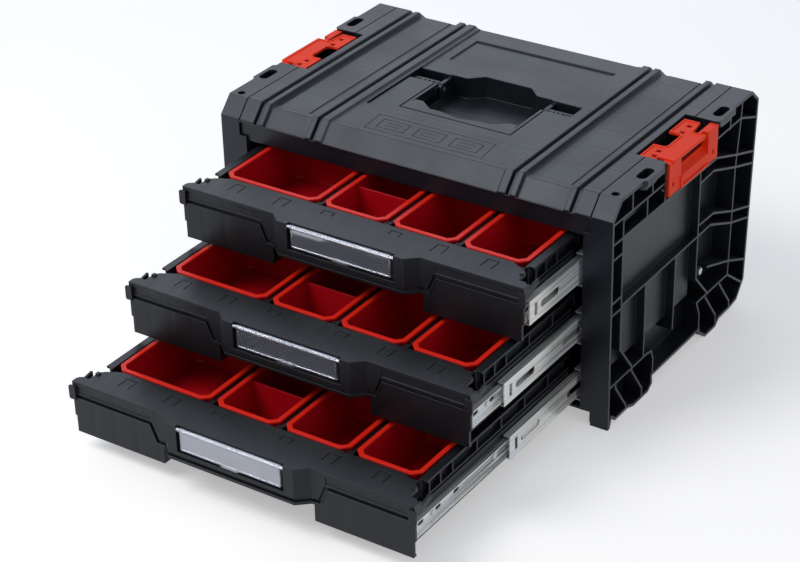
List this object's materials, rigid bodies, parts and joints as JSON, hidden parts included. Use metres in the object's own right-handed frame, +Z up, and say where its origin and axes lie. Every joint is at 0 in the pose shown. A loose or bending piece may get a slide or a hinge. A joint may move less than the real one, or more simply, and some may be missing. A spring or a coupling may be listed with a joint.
{
  "type": "portable tool box with drawers",
  "caption": "Portable stackable tool box of dark plastic with pull-out drawers on steel ball-bearing slides, red-orange parts bins, side latches, label windows and a fold-flat handle.",
  "frame": {"origin": "middle of the box's footprint on the floor, with the drawers pulled out as in the picture", "axes": "+X to the right seen from the drawers, +Y from the drawers to the back, +Z up"},
  "size_m": [0.458, 0.6008, 0.2436],
  "materials": {
    "case_plastic": "fine matt moulded texture, lightly scuffed edges",
    "drawer_plastic": "fine matt moulded texture",
    "latch_plastic": "satin moulded",
    "bin_plastic": "satin moulded",
    "slide_steel": "bright zinc plated, with a faint blue and yellow tint",
    "steel": "plain steel",
    "clear_plastic": "clear moulded plastic"
  },
  "bodies": {
    "case": {"side_frame_left": "case_plastic", "side_frame_right": "case_plastic", "slide_panel_left": "case_plastic", "slide_panel_right": "case_plastic", "top_cover": "case_plastic", "back_panel": "case_plastic", "floor_panel": "case_plastic", "handle_pins": "steel", "latch_pins": "steel", "frame_screws": "steel", "slide_rivets": "steel", "top_slide_outer_left": "slide_steel", "top_slide_outer_right": "slide_steel", "middle_slide_outer_left": "slide_steel", "middle_slide_outer_right": "slide_steel", "bottom_slide_outer_left": "slide_steel", "bottom_slide_outer_right": "slide_steel"},
    "handle": {"handle": "case_plastic"},
    "latch_left": {"latch_left": "latch_plastic"},
    "latch_right": {"latch_right": "latch_plastic"},
    "top_slide_middles": {"top_slide_middle_left": "slide_steel", "top_slide_middle_right": "slide_steel"},
    "top_drawer": {"top_drawer_tray": "drawer_plastic", "top_drawer_front": "drawer_plastic", "top_bins_wide": "bin_plastic", "top_bins_divided": "bin_plastic", "top_bins_long": "bin_plastic", "top_drawer_screws": "steel", "top_slide_inner_left": "slide_steel", "top_slide_inner_right": "slide_steel"},
    "top_label_window": {"top_label_window": "clear_plastic"},
    "top_outer_cages": {"top_outer_cages": "steel"},
    "top_inner_cages": {"top_inner_cages": "steel"},
    "middle_slide_middles": {"middle_slide_middle_left": "slide_steel", "middle_slide_middle_right": "slide_steel"},
    "middle_drawer": {"middle_drawer_tray": "drawer_plastic", "middle_drawer_front": "drawer_plastic", "middle_bins_wide": "bin_plastic", "middle_bins_divided": "bin_plastic", "middle_bins_long": "bin_plastic", "middle_drawer_screws": "steel", "middle_slide_inner_left": "slide_steel", "middle_slide_inner_right": "slide_steel"},
    "middle_label_window": {"middle_label_window": "clear_plastic"},
    "middle_outer_cages": {"middle_outer_cages": "steel"},
    "middle_inner_cages": {"middle_inner_cages": "steel"},
    "bottom_slide_middles": {"bottom_slide_middle_left": "slide_steel", "bottom_slide_middle_right": "slide_steel"},
    "bottom_drawer": {"bottom_drawer_tray": "drawer_plastic", "bottom_drawer_front": "drawer_plastic", "bottom_bins_wide": "bin_plastic", "bottom_bins_divided": "bin_plastic", "bottom_bins_long": "bin_plastic", "bottom_drawer_screws": "steel", "bottom_slide_inner_left": "slide_steel", "bottom_slide_inner_right": "slide_steel"},
    "bottom_label_window": {"bottom_label_window": "clear_plastic"},
    "bottom_outer_cages": {"bottom_outer_cages": "steel"},
    "bottom_inner_cages": {"bottom_inner_cages": "steel"}
  },
  "joints": [
    {"name": "handle_fold", "type": "hinge", "parent": "case", "child": "handle", "pos_m": [0, 0.1574, 0.2298], "axis": [-1, 0, 0], "range_deg": [0, 95]},
    {"name": "latch_left_turn", "type": "hinge", "parent": "case", "child": "latch_left", "pos_m": [-0.2225, 0.15315, 0.2142], "axis": [0, -1, 0], "range_deg": [0, 100]},
    {"name": "latch_right_turn", "type": "hinge", "parent": "case", "child": "latch_right", "pos_m": [0.2225, 0.15315, 0.2142], "axis": [0, 1, 0], "range_deg": [0, 100]},
    {"name": "top_slide_middle_travel", "type": "slide", "parent": "case", "child": "top_slide_middles", "axis": [0, -1, 0], "range_m": [-0.098, 0.047]},
    {"name": "top_drawer_travel", "type": "slide", "parent": "top_slide_middles", "child": "top_drawer", "axis": [0, -1, 0], "range_m": [-0.00728, 0.15272]},
    {"name": "top_outer_cage_travel", "type": "slide", "parent": "case", "child": "top_outer_cages", "axis": [0, -1, 0], "range_m": [-0.049, 0.0235]},
    {"name": "top_inner_cage_travel", "type": "slide", "parent": "top_slide_middles", "child": "top_inner_cages", "axis": [0, -1, 0], "range_m": [-0.00364, 0.07636]},
    {"name": "top_label_window_turn", "type": "hinge", "parent": "top_drawer", "child": "top_label_window", "pos_m": [0, -0.11658, 0.1967], "axis": [-1, 0, 0], "range_deg": [0, 95]},
    {"name": "middle_slide_middle_travel", "type": "slide", "parent": "case", "child": "middle_slide_middles", "axis": [0, -1, 0], "range_m": [-0.14196, 0.00304]},
    {"name": "middle_drawer_travel", "type": "slide", "parent": "middle_slide_middles", "child": "middle_drawer", "axis": [0, -1, 0], "range_m": [-0.05334, 0.10666]},
    {"name": "middle_outer_cage_travel", "type": "slide", "parent": "case", "child": "middle_outer_cages", "axis": [0, -1, 0], "range_m": [-0.07098, 0.00152]},
    {"name": "middle_inner_cage_travel", "type": "slide", "parent": "middle_slide_middles", "child": "middle_inner_cages", "axis": [0, -1, 0], "range_m": [-0.02667, 0.05333]},
    {"name": "middle_label_window_turn", "type": "hinge", "parent": "middle_drawer", "child": "middle_label_window", "pos_m": [0, -0.2066, 0.1334], "axis": [-1, 0, 0], "range_deg": [0, 95]},
    {"name": "bottom_slide_middle_travel", "type": "slide", "parent": "case", "child": "bottom_slide_middles", "axis": [0, -1, 0], "range_m": [-0.13202, 0.01298]},
    {"name": "bottom_drawer_travel", "type": "slide", "parent": "bottom_slide_middles", "child": "bottom_drawer", "axis": [0, -1, 0], "range_m": [-0.15478, 0.00522]},
    {"name": "bottom_outer_cage_travel", "type": "slide", "parent": "case", "child": "bottom_outer_cages", "axis": [0, -1, 0], "range_m": [-0.06601, 0.00649]},
    {"name": "bottom_inner_cage_travel", "type": "slide", "parent": "bottom_slide_middles", "child": "bottom_inner_cages", "axis": [0, -1, 0], "range_m": [-0.07739, 0.00261]},
    {"name": "bottom_label_window_turn", "type": "hinge", "parent": "bottom_drawer", "child": "bottom_label_window", "pos_m": [0, -0.2981, 0.0701], "axis": [-1, 0, 0], "range_deg": [0, 95]}
  ],
  "couplings": [
    {"joint": "top_outer_cage_travel", "follows": "top_slide_middle_travel", "ratio": 0.5},
    {"joint": "top_inner_cage_travel", "follows": "top_drawer_travel", "ratio": 0.5},
    {"joint": "middle_outer_cage_travel", "follows": "middle_slide_middle_travel", "ratio": 0.5},
    {"joint": "middle_inner_cage_travel", "follows": "middle_drawer_travel", "ratio": 0.5},
    {"joint": "bottom_outer_cage_travel", "follows": "bottom_slide_middle_travel", "ratio": 0.5},
    {"joint": "bottom_inner_cage_travel", "follows": "bottom_drawer_travel", "ratio": 0.5}
  ]
}
